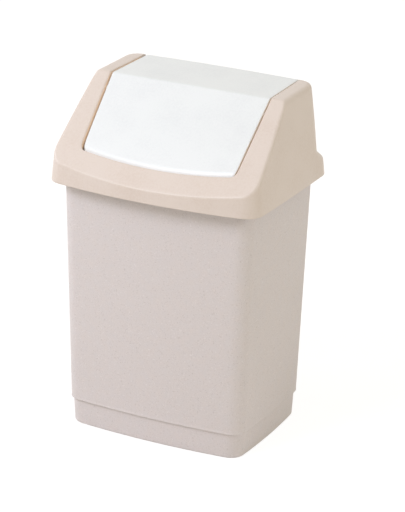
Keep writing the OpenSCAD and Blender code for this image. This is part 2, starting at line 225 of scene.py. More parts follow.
class BinFlap(bpy.types.PropertyGroup):
    """Sizes of the flap and its pivot."""

    flap_t: length("Thickness", "Thickness of the flap", 2)
    flap_recess: length("Recess", "How far the flap lies below the hood's faces", 0.8)
    flap_sink: length("Sink", "How much deeper it lies at its front than at the bend", 2)
    side_gap: length("Side gap", "Gap between the flap and the opening's sides", 2.7)
    front_gap: length("Front gap", "Gap between the flap and the opening's front", 3)
    back_set: length("Back set", "How far the flap's back edge stands in", 0.8)
    flap_side_d: length("Side depth", "Depth of the turned-down sides and front", 10)
    flap_back_h: length("Back height", "Height of the flap's back edge", 6.5)
    front_roll: length("Front roll", "Length of the rolled edge at the flap's front", 14)
    front_drop: length("Front drop", "Depth of the rolled edge at the flap's front", 8)
    side_roll: length("Side roll", "Size of the rounded edges at its sides", 1.2)
    pivot_front: length("Pivot place", "Distance from the bend forward to the pivot", 12)
    pivot_depth: length("Pivot depth", "Depth of the pivot below the sloping face", 8.5)
    pin_r: length("Pin radius", "Radius of the flap's pivot pins", 4)
    boss_wall: length("Boss wall", "Wall round the pivot pins and their holes", 2.6)
    flap_boss_len: length("Boss length", "Length of the bosses inside the flap", 6)
    open_angle: degrees("Open angle", "How far the flap swings open", 75)


class BinFinish(bpy.types.PropertyGroup):
    """Colours of the mouldings."""

    bucket: colour("Bucket", "Ground colour of the speckled bucket", "#DBD3D4")
    dark_speck: colour("Dark specks", "Colour of the bucket's darker specks", "#A79A97")
    light_speck: colour("Light specks", "Colour of the bucket's paler specks", "#EFE9EB")
    hood: colour("Hood", "Colour of the hood", "#DFD2CB")
    hood_drift: colour("Hood drift", "Colour that the hood drifts towards", "#D9CAC1")
    flap: colour("Flap", "Colour of the flap", "#ECEFF3")
    flap_drift: colour("Flap drift", "Colour that the flap drifts towards", "#E6E9EE")


class BinStudio(bpy.types.PropertyGroup):
    """The lamps and the floor."""

    key: watts("Key lamp", "Power of the lamp at the front", 40.0)
    side: watts("Side lamp", "Power of the lamp at the left", 33.1)
    fill: watts("Fill lamp", "Power of the lamp at the right", 14.2)
    sky: FloatProperty(
        name="Sky", description="Strength of the light from all round", default=0.5508, min=0
    )
    floor: colour("Floor", "Colour of floor and backdrop, as the camera sees them", "#FFFFFF")


GROUPS = {"bin_bucket": BinBucket, "bin_hood": BinHood, "bin_flap": BinFlap}
LOOKS = {"bin_finish": BinFinish, "bin_studio": BinStudio}


def sizes():
    """The groups' lengths in millimetres and angles in radians, with what
    follows from them."""
    d = SimpleNamespace()
    for key in GROUPS:
        group = getattr(bpy.context.scene, key)
        for prop in group.bl_rna.properties:
            if prop.type == "FLOAT":
                value = getattr(group, prop.identifier)
                setattr(d, prop.identifier, value * 1000 if prop.unit == "LENGTH" else value)
    d.skirt_z = d.rim_h - d.skirt_drop
    d.bend_z = d.rim_h + d.bend_h
    d.back_z = d.bend_z + d.top_rise
    d.skirt_half = d.rim_w / 2 + d.skirt_out
    d.skirt_front = d.rim_d / 2 + d.skirt_front_out
    d.skirt_back = d.rim_d / 2 + d.skirt_back_out
    d.top_half = d.skirt_half - d.side_lean
    d.crease_y = FRONT_LEAN * d.crease_h - d.skirt_front
    d.bend_y = d.crease_y + (d.bend_z - d.skirt_z - d.crease_h) / math.tan(d.slope)
    d.back_top = d.bend_y + d.top_d
    d.back_foot = d.back_top + d.back_lean
    d.top_angle = math.atan2(d.top_rise, d.top_d)
    d.foot_z = d.skirt_z + d.skirt_back_h + d.ledge_h
    d.shift = (d.skirt_front + d.skirt_bow - d.skirt_back - d.skirt_back_bow) / 2
    d.mouth_half = d.top_half - d.cheek_w
    d.mouth_front_half = d.mouth_half - d.cheek_flare
    d.mouth_back_half = d.mouth_half - d.cheek_back_flare
    d.mouth_front = d.crease_y + d.sill_w
    d.mouth_reach = d.bend_y - d.mouth_front
    d.shelf_z = d.back_z - d.flap_recess - d.flap_back_h - REST_GAP
    # The flap's own slope, a little steeper than the hood's.
    d.flap_slope = d.slope + math.asin(d.flap_sink * math.cos(d.slope) / d.mouth_reach)
    d.pivot_y = d.bend_y - d.pivot_front
    fall = d.pivot_front * math.tan(d.flap_slope)
    d.pivot_z = d.bend_z - fall - d.pivot_depth / math.cos(d.flap_slope)
    d.pivot_half = d.mouth_half - d.cheek_flare * d.pivot_front / d.mouth_reach
    d.boss_r = d.pin_r + d.boss_wall
    # Behind this place, the flap's turned-down sides stay above the shelf.
    d.split = d.back_top - d.hood_wall - d.shelf_w - SHELF_GAP
    return d


def mix(a, b, t):
    """a at t = 0 and b at t = 1, in a straight line between."""
    return a + (b - a) * t


def curve(a, corner, b, t):
    """A quadratic Bezier curve from a to b, tangent to the lines to corner:
    (1 - t)^2 a + 2 t (1 - t) corner + t^2 b, with t down the first axis."""
    t = np.asarray(t).reshape(-1, 1, 1)
    return (1 - t) ** 2 * a + 2 * t * (1 - t) * corner + t**2 * b


def outline(h, half, front, back, bow_f, bow_k, bow_s, r, grow=0.0):
    """The right half of a rectangle with bowed sides and round corners, seen
    from above, and the angle of its outward normal.

    h runs from 0 at the middle of the front, over 1 and 2 at the ends of the
    front corner and 3 and 4 at those of the back corner, to 5 at the middle
    of the back. A side is the parabola bow (1 - u^2), a corner an arc, and
    both are pushed out by r + grow along the normal."""
    x0, yf, yk = half - r, r - front, back - r
    h = h + 0 * (x0 + yf + yk)
    piece = np.clip(np.floor(h), 0, 4)
    s = h - piece
    tf, tk = np.arctan2(2 * bow_f, x0), np.arctan2(2 * bow_k, x0)
    ts = np.arctan2(4 * bow_s, yk - yf)
    u = 2 * s - 1
    parts = [piece == i for i in range(4)]
    angle = np.select(
        parts,
        [
            np.arctan(2 * s * bow_f / x0) - np.pi / 2,
            mix(tf - np.pi / 2, -ts, s),
            np.arctan(4 * u * bow_s / (yk - yf)),
            mix(ts, np.pi / 2 - tk, s),
        ],
        np.pi / 2 - np.arctan(2 * (1 - s) * bow_k / x0),
    )
    x = np.select(parts, [s * x0, x0, x0 + bow_s * (1 - u**2), x0], (1 - s) * x0)
    y = np.select(
        parts,
        [yf - bow_f * (1 - s**2), yf, mix(yf, yk, s), yk],
        yk + bow_k * (1 - (1 - s) ** 2),
    )
    return x + (r + grow) * np.cos(angle), y + (r + grow) * np.sin(angle), angle


def points(x, y, z):
    """Three coordinate arrays as one array of points."""
    return np.stack(np.broadcast_arrays(x, y, z), axis=-1).astype(float)


def both_sides(right):
    """Rows of points from the middle of the front round the right side to the
    middle of the back, and on round the mirrored left side."""
    return np.concatenate([right, right[:, -2:0:-1] * [-1, 1, 1]], axis=1)


def grid_faces(rows, cols, loop_rows, loop_cols):
    """The quads of a grid of points, closed along either way if asked."""
    i = np.arange(rows if loop_rows else rows - 1)[:, None]
    j = np.arange(cols if loop_cols else cols - 1)[None, :]
    below, right = (i + 1) % rows, (j + 1) % cols
    quads = (i * cols + j, i * cols + right, below * cols + right, below * cols + j)
    return np.stack(np.broadcast_arrays(*quads), axis=-1).reshape(-1, 4)


def make_piece(name, grids, shift, material, body, inner=None):
    """A piece from grids of points in millimetres, each with whether its rows
    and its columns close, moved by shift along Y. Doubled points are merged,
    so that seams and poles are closed, and then the faces are turned
    outwards. inner gives each point's share of the painted warm shade and
    painted glow that stand in for light from inside."""
    verts, faces, start = [], [], 0
    for grid, loop_rows, loop_cols in grids:
        rows, cols = grid.shape[:2]
        verts.append(grid.reshape(-1, 3))
        faces.append(grid_faces(rows, cols, loop_rows, loop_cols) + start)
        start += rows * cols
    co = (np.concatenate(verts) + [0, shift, 0]) / 1000
    mesh = bpy.data.meshes.new(name)
    mesh.from_pydata(co.tolist(), [], np.concatenate(faces).tolist())
    shell = bmesh.new()
    shell.from_mesh(mesh)
    bmesh.ops.remove_doubles(shell, verts=shell.verts, dist=MERGE)
    bmesh.ops.dissolve_degenerate(shell, edges=shell.edges, dist=MERGE)
    bmesh.ops.recalc_face_normals(shell, faces=shell.faces)
    shell.to_mesh(mesh)
    shell.free()
    mesh.shade_smooth()
    mesh.set_sharp_from_angle(angle=CREASE)
    # The attribute inner is the mask of the painted glow and painted warm shade.
    if inner:
        at = np.empty(len(mesh.vertices) * 3)
        mesh.vertices.foreach_get("co", at)
        share = inner(at.reshape(-1, 3) * 1000 - [0, shift, 0])
        mesh.attributes.new("inner", "FLOAT", "POINT").data.foreach_set("value", share)
    mesh.materials.append(material)
    piece = bpy.data.objects.new(name, mesh)
    bpy.context.scene.collection.objects.link(piece)
    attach(piece, body)
    return piece


def arc(grow, z, r, a0, a1, steps):
    """(grow, height) along an arc of a profile between two angles in degrees."""
    a = np.radians(np.linspace(a0, a1, steps))
    return list(zip(grow + r * np.cos(a), z + r * np.sin(a)))


def bucket_grid(d):
    """The bucket as one skin: a profile of (grow, height) carried round the
    outline, from the middle of its underside, out and up the outside, over
    the rim, down the inside and to the middle of the floor."""
    wall, top, low = d.bucket_wall, d.rim_h, d.plinth_h
    floor_z = d.foot_h + d.floor_t
    lip, rib, under = d.flange_w, d.flange_w - d.flange_t, top - d.flange_t
    r, step_r = 0.8, 0.6  # of the foot and under the flange, and of the shoulder
    plinth_up = (
        [(-d.foot_w - 1, d.foot_h), (-d.foot_w - 1, d.foot_h)]
        + arc(r - d.foot_w, r, r, 180, 270, 4)
        + arc(-FOOT_EDGE, FOOT_EDGE, FOOT_EDGE, 270, 360, 8)
        + [(0, z) for z in np.linspace(FOOT_EDGE + 4, low - 3, 4)]
        + arc(step_r, low - step_r, step_r, 180, 90, 4)
    )
    wall_up = (
        arc(LIP_BEAD - LIP_R, low + LIP_R, LIP_R, 270, 360, 7)
        + [(0, low + LIP_R + 1.6)]
        + [(0, z) for z in np.linspace(low + 6, under - 3, 12)]
        + arc(r, under - r, r, 180, 90, 4)
        + arc(rib - r, under - r, r, 90, 0, 4)
        + arc(lip - d.flange_t / 2, top - d.lip_h + 1, d.flange_t / 2, 180, 360, 8)
        + arc(lip - EDGE_R, top - EDGE_R, EDGE_R, 0, 90, 6)
        + arc(EDGE_R - wall, top - EDGE_R, EDGE_R, 90, 180, 6)
        + [(-wall, z) for z in np.linspace(top - 6, low + 6, 8)]
        + [(-wall, low + wall + 1.2), (-wall - 0.3, low + wall + 0.4)]
    )
    plinth_down = (
        [(0.4 - wall, low + wall - 0.3), (-wall, low + wall - 1.5)]
        + arc(-wall - COVE_R, floor_z + COVE_R, COVE_R, 0, -90, 7)
        + [(-wall - COVE_R, floor_z)]
    )
    rows = np.array(plinth_up + wall_up + plinth_down)
    grow, z = rows[:, :1], rows[:, 1:]
    up, middle = len(plinth_up), len(plinth_up) + len(wall_up)
    index = np.arange(len(rows))[:, None]
    on_wall = (index >= up) & (index < middle)
    draw = np.where(
        on_wall,
        d.wall_taper * (top - z) / (top - low),
        d.wall_taper + d.plinth_inset + d.plinth_draft * (low - z) / low,
    )
    steps = enumerate((14, 12, 12, 12, 14))
    h = np.unique(np.concatenate([np.linspace(i, i + 1, n + 1) for i, n in steps]))
    x, y, _ = outline(
        h, d.rim_w / 2 - draw, d.rim_d / 2 - draw, d.rim_d / 2 - draw,
        d.bucket_bow, d.bucket_bow, d.bucket_side_bow, d.bucket_r, grow,
    )
    spread = np.where((index == 0) | (index == len(rows) - 1), 0.0, 1.0)
    return both_sides(points(x * spread, y * spread, z))


def roof(d, y, t=0.0):
    """Height of the surface that lies t below the hood's faces, at y: a line
    up the slope, an arc round the bend, and a line back along the top."""
    s, k = d.slope, d.top_angle
    r = np.maximum(d.bend_r - t, EDGE_R)
    far = (r + t) / math.cos((s - k) / 2)
    cy, cz = d.bend_y + far * math.sin((s + k) / 2), d.bend_z - far * math.cos((s + k) / 2)
    y0, y1 = cy - r * math.sin(s), cy - r * math.sin(k)
    return np.where(
        y < y0,
        cz + r * math.cos(s) + (y - y0) * math.tan(s),
        np.where(
            y > y1,
            cz + r * math.cos(k) + (y - y1) * math.tan(k),
            cz + np.sqrt(np.maximum(r**2 - (y - cy) ** 2, 0)),
        ),
    )


def tilt(d, y):
    """The cosine of the angle of the hood's faces at y, from their rise over a
    short step: 1 / sqrt(1 + rise^2)."""
    rise = (roof(d, y + NUDGE) - roof(d, y - NUDGE)) / (2 * NUDGE)
    return 1 / np.sqrt(1 + rise**2)


def edge_reach(size, c, nx, ny):
    """How far a rounded edge reaches down the wall, size / sqrt(c^2 +
    (1 - c^2) ny^2), and over the face, size sqrt(nx^2 + c^2 ny^2). c is the
    cosine of the face's angle, and nx and ny are the wall's outward normal."""
    return size / np.sqrt(c**2 + (1 - c**2) * ny**2), size * np.sqrt(nx**2 + c**2 * ny**2)


def hood_at(d, h, z, grow=0.0, drop=0.0):
    """The hood's outline at height z: half-width, front and back each change
    with z, and the back steps in over the ledge, softened by a running mean
    over twice LEDGE_SOFT. drop lowers the ledge, for the inside."""
    t = (z - d.skirt_z) / (d.bend_z - d.skirt_z)
    half = mix(d.skirt_half, d.top_half, t) + 4 * SIDE_CROWN * t * (1 - t)
    r = mix(d.skirt_r, UPPER_R, (z - d.skirt_z) / (d.back_z - d.skirt_z))
    front = d.skirt_front - FRONT_LEAN * (z - d.skirt_z)
    ledge_z = d.skirt_z + d.skirt_back_h
    heights = [d.skirt_z, ledge_z, d.foot_z, d.back_z]
    back = [d.skirt_back, d.skirt_back - BACK_SKIRT_LEAN, d.back_foot, d.back_top]
    bow = [d.skirt_back_bow, d.skirt_back_bow, TOP_BOW, TOP_BOW]
    around = [z + drop + o for o in np.linspace(-LEDGE_SOFT, LEDGE_SOFT, 9)]
    back = np.mean([np.interp(a, heights, back) for a in around], axis=0)
    bow = np.mean([np.interp(a, heights, bow) for a in around], axis=0)
    return outline(h, half, front, back, d.skirt_bow, bow, SKIRT_SIDE_BOW, r, grow)


def meet_roof(d, h, t=0.0, grow=0.0, drop=0.0):
    """The height where the hood's wall meets the roof t below its faces: the
    fixed point of z = roof(y(h, z)), which settles in a few steps."""
    z = np.full_like(h, d.bend_z)
    for _ in range(40):
        z = roof(d, hood_at(d, h, z, grow, drop)[1], t)
    return z


def mouth_side(d, y, inset=0.0):
    """Half-width of the opening at y: straight from its front corner to the
    bend and from there to the back."""
    return np.interp(
        y,
        [d.mouth_front, d.bend_y, d.back_top],
        [d.mouth_front_half, d.mouth_half, d.mouth_back_half],
    ) - inset


def mouth_front(d, q, inset=0.0, front=0.0):
    """The opening's front edge and corner, seen from above, with the angle of
    its outward normal. q is 0 at the middle, 1 where the corner starts and 2
    where it ends; inset and front draw the sides and the front edge in."""
    r = d.mouth_r - inset
    cx, cy = d.mouth_front_half - d.mouth_r, d.mouth_front + front + r
    bow = math.atan2(2 * d.mouth_bow, cx)
    side = math.atan2(d.cheek_flare, d.mouth_reach)
    u = np.minimum(q, 1)
    angle = np.where(q < 1, bow * q - np.pi / 2, mix(bow - np.pi / 2, -side, q - 1))
    return (
        u * cx + r * np.cos(angle),
        cy + r * np.sin(angle) - d.mouth_bow * (1 - u**2),
        angle,
    )


def cheek_columns(d):
    """Places h round the hood's outline, close together at the corners and at
    the bend, from the middle of the front to where the opening meets the
    back wall."""
    half_r = mix(d.skirt_r, UPPER_R, 0.9)
    front_y, back_y = half_r - d.skirt_front, d.back_top - UPPER_R
    y = np.concatenate([
        np.linspace(front_y, d.bend_y + (BEND_AT[0] - BEND_CLEAR), 14)[1:],
        np.linspace(d.bend_y + BEND_AT[0], d.bend_y + BEND_AT[-1], 25),
        np.linspace(d.bend_y + (BEND_AT[-1] + BEND_CLEAR), back_y, 9)[:-1],
    ])
    z = roof(d, y)
    r = mix(d.skirt_r, UPPER_R, (z - d.skirt_z) / (d.back_z - d.skirt_z))
    yf = r - d.skirt_front + FRONT_LEAN * (z - d.skirt_z)
    sides = 2 + np.clip((y - yf) / (d.back_top - r - yf), 0.01, 0.99)
    x0 = d.top_half - UPPER_R
    notch = 5 - d.mouth_back_half / (x0 + 2 * UPPER_R * TOP_BOW / x0)
    return np.concatenate([
        np.linspace(0, 1, 15), np.linspace(1, 2, 15)[1:], sides,
        np.linspace(3, 4, 16), [notch],
    ]), notch


def hood_shell(d):
    """The hood as one closed skin. Each column is a closed loop of rows: up
    the curtain wall, over the opening's edge, across the face, round the
    edge, down the wall, round the skirt's foot, up the inside and back down
    the curtain wall. Past the notch, the loop is the back wall alone."""
    h, notch = cheek_columns(d)
    foot_r = d.hood_wall / 2
    foot_z = d.skirt_z + foot_r
    inner = dict(grow=-d.hood_wall, drop=d.hood_wall)

    # Where wall and roof would meet in a sharp edge, and its outward normal.
    z_edge = meet_roof(d, h)
    x, y, angle = hood_at(d, h, z_edge)
    edge = points(x, y, z_edge)
    nx, ny = np.cos(angle), np.sin(angle)

    # The size of the rounded edge changes from crease to slope to top to back.
    size = np.where(
        h < 2,
        np.interp(h, [1, 1.9], [d.crease_edge, d.slope_edge]),
        mix(d.slope_edge, d.top_edge_r, np.interp(y - d.bend_y, BEND_AT, BEND_SHARE)),
    )
    size = np.where(h > 2.8, np.interp(h, [2.8, notch], [d.top_edge_r, d.rear_edge]), size)
    drop, back_off = edge_reach(size, tilt(d, y), nx, ny)
    wx, wy, _ = hood_at(d, h, z_edge - drop)
    wall_top = points(wx, wy, z_edge - drop)
    fx, fy = x - nx * back_off, y - ny * back_off
    face_end = points(fx, fy, roof(d, fy))

    # The opening's edge, column by column. Behind its front corner, a column
    # comes level with its place on the outer edge before the bend.
    mx, my, m_angle = mouth_front(d, np.minimum(h, 2))
    corner_y, level_y = y[h <= 2][-1], d.bend_y - CHEEK_FADE
    offset = my[h <= 2][-1] - corner_y
    side_y = y + offset * np.clip((level_y - y) / (level_y - corner_y), 0, 1)
    side_y = np.where(h > 3, np.interp(h, [3, notch], [y[h >= 3][0], fy[-1]]), side_y)
    on_side = h > 2
    my = np.where(on_side, side_y, my)
    mx = np.where(on_side, mouth_side(d, my), mx)
    side_angle = np.interp(
        my,
        [d.bend_y - 10, d.bend_y + 10],
        [
            -math.atan2(d.cheek_flare, d.mouth_reach),
            math.atan2(d.cheek_back_flare, d.top_d),
        ],
    )
    m_angle = np.where(on_side, side_angle, m_angle)
    mnx, mny = np.cos(m_angle), np.sin(m_angle)
    top_size = d.mouth_edge * MOUTH_TOP
    m_size = np.interp(my, [d.bend_y - 20, d.bend_y + 15], [d.mouth_edge, top_size])
    m_size = np.where(h > 3, np.interp(h, [3, notch], [top_size, 0.02]), m_size)
    m_drop, m_out = edge_reach(m_size, tilt(d, my), mnx, mny)
    mouth = points(mx, my, roof(d, my))
    mouth_low = points(mx, my, roof(d, my) - m_drop)
    rx, ry = mx + mnx * m_out, my + mny * m_out
    face_start = points(rx, ry, roof(d, ry))

    # Inside: the wall's inner skin, the roof's underside, the curtain's back.
    curtain_low = np.maximum(d.rim_h + CURTAIN_LIFT, roof(d, my, d.curtain_d))
    z_in = meet_roof(d, h, d.hood_wall, **inner)
    ix, iy, _ = hood_at(d, h, z_in, **inner)
    ox, oy = mx + mnx * d.curtain_t, my + mny * d.curtain_t
    z_notch = curtain_low[-1]
    soft, top = 0.6, d.shelf_z  # of the back wall, whose top edges are rounded
    wall_z = np.minimum(z_edge - drop, top - soft)
    in_z = np.minimum(z_in, z_notch)

    down = np.concatenate([
        np.linspace(1, 0.38, 8), np.linspace(0.34, 0.15, 16), np.linspace(0.12, 0, 4),
    ])[:, None]
    up = np.concatenate([
        np.linspace(0, 0.13, 4), np.linspace(0.16, 0.38, 14), np.linspace(0.45, 1, 6),
    ])[:, None]
    turn = np.radians(np.linspace(0, 180, 9))[1:-1, None]
    t_edge, t_mouth = np.linspace(0, 1, 11), np.linspace(0, 1, 8)
    t_face = np.linspace(0, 1, 8)[1:-1, None]

    def lower_rows(h, wall_z, in_z):
        """The rows that the cheeks and the back share."""
        z0 = mix(foot_z, wall_z, down)
        z1 = foot_z - foot_r * np.sin(turn) + 0 * h
        z2 = mix(foot_z, in_z, up)
        ax, ay, _ = hood_at(d, h, z0)
        bx, by, _ = hood_at(d, h, z1, grow=foot_r * (np.cos(turn) - 1))
        cx, cy, _ = hood_at(d, h, z2, **inner)
        return [points(ax, ay, z0), points(bx, by, z1), points(cx, cy, z2)]

    zc = mix(curtain_low, mouth_low[:, 2], np.linspace(0, 1, 7)[:-1, None])
    gx, gy = mix(rx, fx, t_face), mix(ry, fy, t_face)
    z3 = mix(in_z, z_in, np.linspace(0, 1, 4)[1:, None])
    kx, ky, _ = hood_at(d, h, z3, **inner)
    t_in = np.linspace(0, 1, 6)[1:, None]
    jx, jy = mix(ix, ox, t_in), mix(iy, oy, t_in)
    out_top = roof(d, oy, d.hood_wall)
    zo = mix(out_top, np.minimum(curtain_low, out_top), np.linspace(0, 1, 4)[1:, None])
    cheeks = np.concatenate([
        points(mx, my, zc),
        curve(mouth_low, mouth, face_start, t_mouth),
        points(gx, gy, roof(d, gy)),
        curve(face_end, edge, wall_top, t_edge),
        *lower_rows(h, wall_z, in_z),
        points(kx, ky, z3),
        points(jx, jy, roof(d, jy, d.hood_wall)),
        points(ox, oy, zo),
    ])

    # Past the notch the same rows run up the inside of the back wall, over
    # its top and down; those of the roof and curtain shrink to a point.
    h = np.linspace(notch, 5, 15)
    z4 = mix(z_notch, top - soft, np.linspace(0, 1, 7)[:-1, None]) + 0 * h
    px, py, _ = hood_at(d, h, z4, **inner)

    def at(grow, z):
        """Points of the back wall at one growth and height."""
        bx, by, _ = hood_at(d, h, z + 0 * h, grow=grow, drop=-grow)
        return points(bx, by, z)

    wall = d.hood_wall
    across = [at(g, top)[None] for g in np.linspace(soft - wall, -soft, 8)[1:-1]]
    end = at(-wall, z_notch)[None]
    rest = len(z3) + len(jx) + len(zo)
    back = np.concatenate([
        points(px, py, z4),
        curve(at(-wall, top - soft), at(-wall, top), at(soft - wall, top), t_mouth),
        *across,
        curve(at(-soft, top), at(0, top), at(0, top - soft), t_edge),
        *lower_rows(h, top - soft + 0 * h, z_notch + 0 * h),
        np.repeat(end, rest, axis=0),
    ])
    return both_sides(np.concatenate([cheeks, back], axis=1))


def painted_gap_light(d, at):
    """How much of the painted warm shade and painted glow, which stand in for
    light from inside the hood, each point gets: none on the faces, rising to
    all of it over GLOW_IN of depth at the opening's sides and fading out
    again below GLOW_DEEP."""
    x, y, z = at.T
    depth = roof(d, y) - z
    # Only on the walls round the opening, and not beside the shelf.
    front, back = d.mouth_front - d.mouth_bow - 4, d.back_top - 12
    near = (np.abs(x) < d.mouth_half + 3) & (y > front) & (y < back)
    rise = np.interp(depth, GLOW_IN, (0, 1))
    return np.where(near, rise * np.interp(depth, GLOW_DEEP, (1, 0)), 0.0)


def shelf_grid(d):
    """The shelf under the flap's back edge: a rounded section carried across
    the opening, from inside one curtain wall to inside the other."""
    half = d.mouth_back_half + d.curtain_t / 2
    x = np.linspace(-half, half, 25)[None, :]
    u = np.clip(np.abs(x) / (d.top_half - UPPER_R), 0, 1)
    rear = d.back_top - d.hood_wall + TOP_BOW * (1 - u**2) + 0.3
    front = d.back_top - d.hood_wall - d.shelf_w
    r, low, top = 0.7, d.shelf_z - d.hood_wall, d.shelf_z - 0.04
    a = np.radians(np.linspace(90, 270, 9))[:, None]
    mid = np.sin(a) > 0
    y_front = front + r + r * np.cos(a) + 0 * x
    z_front = np.where(mid, top - r, low + r) + r * np.sin(a) + 0 * x
    y = np.concatenate([rear, y_front, rear])
    z = np.concatenate([top + 0 * x, z_front, low + 0 * x])
    body = points(x, y, z)
    flat = body.mean(axis=0, keepdims=True)
    left = np.repeat(flat[:, :1], len(body), axis=0)
    right = np.repeat(flat[:, -1:], len(body), axis=0)
    return np.concatenate([left, body, right], axis=1)


def rod_grid(profile, y, z, side):
    """A turned shape along X: a profile of (distance out, radius) carried
    round the line at y and z, on the side given."""
    out = np.array([p[0] for p in profile])[:, None]
    r = np.array([p[1] for p in profile])[:, None]
    a = np.linspace(0, 2 * np.pi, TURN_STEPS, endpoint=False)[None, :]
    return points(side * out + 0 * a, y + r * np.cos(a), z + r * np.sin(a))


def rib_grid(d, place, turn, wall_at):
    """A seat rib: a plate in the plane of a spoke, over the rim's flange and
    down outside it, whose outer edge follows the wall's inner skin.

    place is where the rim's outer edge lies, turn the spoke's angle, and
    wall_at the distance from there to the wall at a height."""
    low, top = d.skirt_z + RIB_LIFT, d.rim_h + RIB_H
    try_z = np.linspace(d.rim_h + 2, top, 40)
    top = try_z[wall_at(try_z) > 0.4 - RIB_REACH].max()
    z = np.concatenate([
        np.linspace(low, d.rim_h, 5), [d.rim_h + 0.01], np.linspace(d.rim_h + 2, top, 6),
    ])
    z = z[[0, *range(len(z)), -1]][:, None]
    # Each row runs out along one face and back along the other; the first and
    # the last row lie on the middle plane, which closes the ends.
    t = np.concatenate([np.linspace(0, 1, 6), np.linspace(1, 0, 6)])
    face = np.repeat([1.0, -1.0], 6) * np.where((z == z[0]) | (z == z[-1]), 0, 1)
    face[1], face[-2] = face[2], face[2]
    out = mix(np.where(z <= d.rim_h, RIM_FIT, -RIB_REACH), wall_at(z), t)
    x = place[0] + out * math.cos(turn) - face * RIB_T / 2 * math.sin(turn)
    y = place[1] + out * math.sin(turn) + face * RIB_T / 2 * math.cos(turn)
    return points(x, y, np.minimum(z, roof(d, y, d.hood_wall / 2)))


def seat_ribs(d):
    """The hood's twelve ribs that rest on the rim and keep it centred."""
    grids = []
    rim = d.flange_w
    for s in (-1, 1):
        for y in (-d.rim_d / 5, d.rim_d / 5):
            bow = d.bucket_side_bow * (1 - (y / (d.rim_d / 2 - d.bucket_r)) ** 2)
            x = d.rim_w / 2 + bow + rim

            def to_side(z, x=x):
                t = (z - d.skirt_z) / (d.bend_z - d.skirt_z)
                return mix(d.skirt_half, d.top_half, t) - d.hood_wall / 2 - x

            grids.append(rib_grid(d, (s * x, y), 0 if s > 0 else math.pi, to_side))
        for x in (d.rim_w / 8, d.rim_w / 3):
            bow = d.bucket_bow * (1 - (x / (d.rim_w / 2 - d.bucket_r)) ** 2)
            for t in (-1, 1):
                y = t * (d.rim_d / 2 + bow + rim)

                def to_wall(z, x=x, y=y, t=t):
                    part = 1 - (x / (d.skirt_half - d.skirt_r)) ** 2
                    front = d.skirt_front - FRONT_LEAN * (z - d.skirt_z) + d.skirt_bow * part
                    ledge_z = d.skirt_z + d.skirt_back_h
                    back = np.interp(
                        z + d.hood_wall, [d.skirt_z, ledge_z, d.foot_z],
                        [d.skirt_back, d.skirt_back - BACK_SKIRT_LEAN, d.back_foot],
                    ) + d.skirt_back_bow * part
                    return (front if t < 0 else back) - d.hood_wall / 2 - abs(y)

                grids.append(rib_grid(d, (s * x, y), t * math.pi / 2, to_wall))
    return grids


def hinge_seats(d):
    """Beside the opening, on each side: a boss round the pivot's hole, and the
    stop that the open flap's side meets."""
    grids = []
    hole = d.pin_r + PIN_PLAY
    x0, x1 = d.pivot_half + d.curtain_t - 0.5, d.pivot_half + d.curtain_t + d.boss_len
    opened = d.flap_slope + d.open_angle
    away = d.flap_recess + d.flap_side_d - d.pivot_depth + STOP_R + REST_GAP
    sy = d.pivot_y + away * math.sin(opened) - STOP_AT * math.cos(opened)
    sz = d.pivot_z - away * math.cos(opened) - STOP_AT * math.sin(opened)
    s0 = d.pivot_half - d.side_gap - STOP_REACH
    for side in (-1, 1):
        grids.append((rod_grid(
            [(x0, hole), (x1 - 0.4, hole), (x1, hole + 0.4), (x1, d.boss_r - 0.5),
             (x1 - 0.5, d.boss_r), (x0, d.boss_r)], d.pivot_y, d.pivot_z, side), True, True))
        grids.append((rod_grid(
            [(s0, 0), (s0, STOP_R - 0.6), (s0 + 0.18, STOP_R - 0.18), (s0 + 0.6, STOP_R),
             (x0, STOP_R), (x0, 0)], sy, sz, side), False, True))
    return grids


def flap_edge(d, q, inset, front, back):
    """The flap's outline seen from above, right half. q runs from 0 at the
    middle of the front, over 1 and 2 at the ends of the corner and 3 at the
    back corner, to 4 at the middle of the back. inset, front and back draw
    in its sides, front and back edge."""
    gap = d.side_gap + inset
    fx, fy, _ = mouth_front(d, np.minimum(q, 2), gap, d.front_gap + front)
    _, y0, _ = mouth_front(d, np.full_like(q, 2.0), gap, d.front_gap + front)
    _, y_ref, _ = mouth_front(d, np.array(2.0), d.side_gap, d.front_gap)
    end = d.back_top - d.back_set
    y1 = end - back
    y = side_rows(d, q - 2, y_ref, end)
    before = d.bend_y - FLAP_FADE
    near = np.clip((before - y) / (before - y_ref), 0, 1)
    past = np.clip((y - d.bend_y - FLAP_FADE) / (end - d.bend_y - FLAP_FADE), 0, 1)
    y = y + (y0 - y_ref) * near + (y1 - end) * past
    u = 4 - q
    on_side, at_back = (q > 2) & (q <= 3), q > 3
    x = np.where(on_side, mouth_side(d, y, gap), fx)
    x = np.where(at_back, u * (d.mouth_back_half - gap), x)
    y = np.where(on_side, y, fy)
    y = np.where(at_back, y1 + TOP_BOW * (1 - u**2), y)
    return x, y


def side_rows(d, s, y0, y1):
    """y along the flap's side for s from 0 to 1. A third of the steps lie close
    together over the bend, and a few at the split."""
    stops = [0, 0.3, 0.66, 0.9, 0.93, 1]
    places = [y0, d.bend_y - 3, d.bend_y + 4, d.split - NUDGE, d.split + NUDGE, y1]
    return np.interp(s, stops, places)


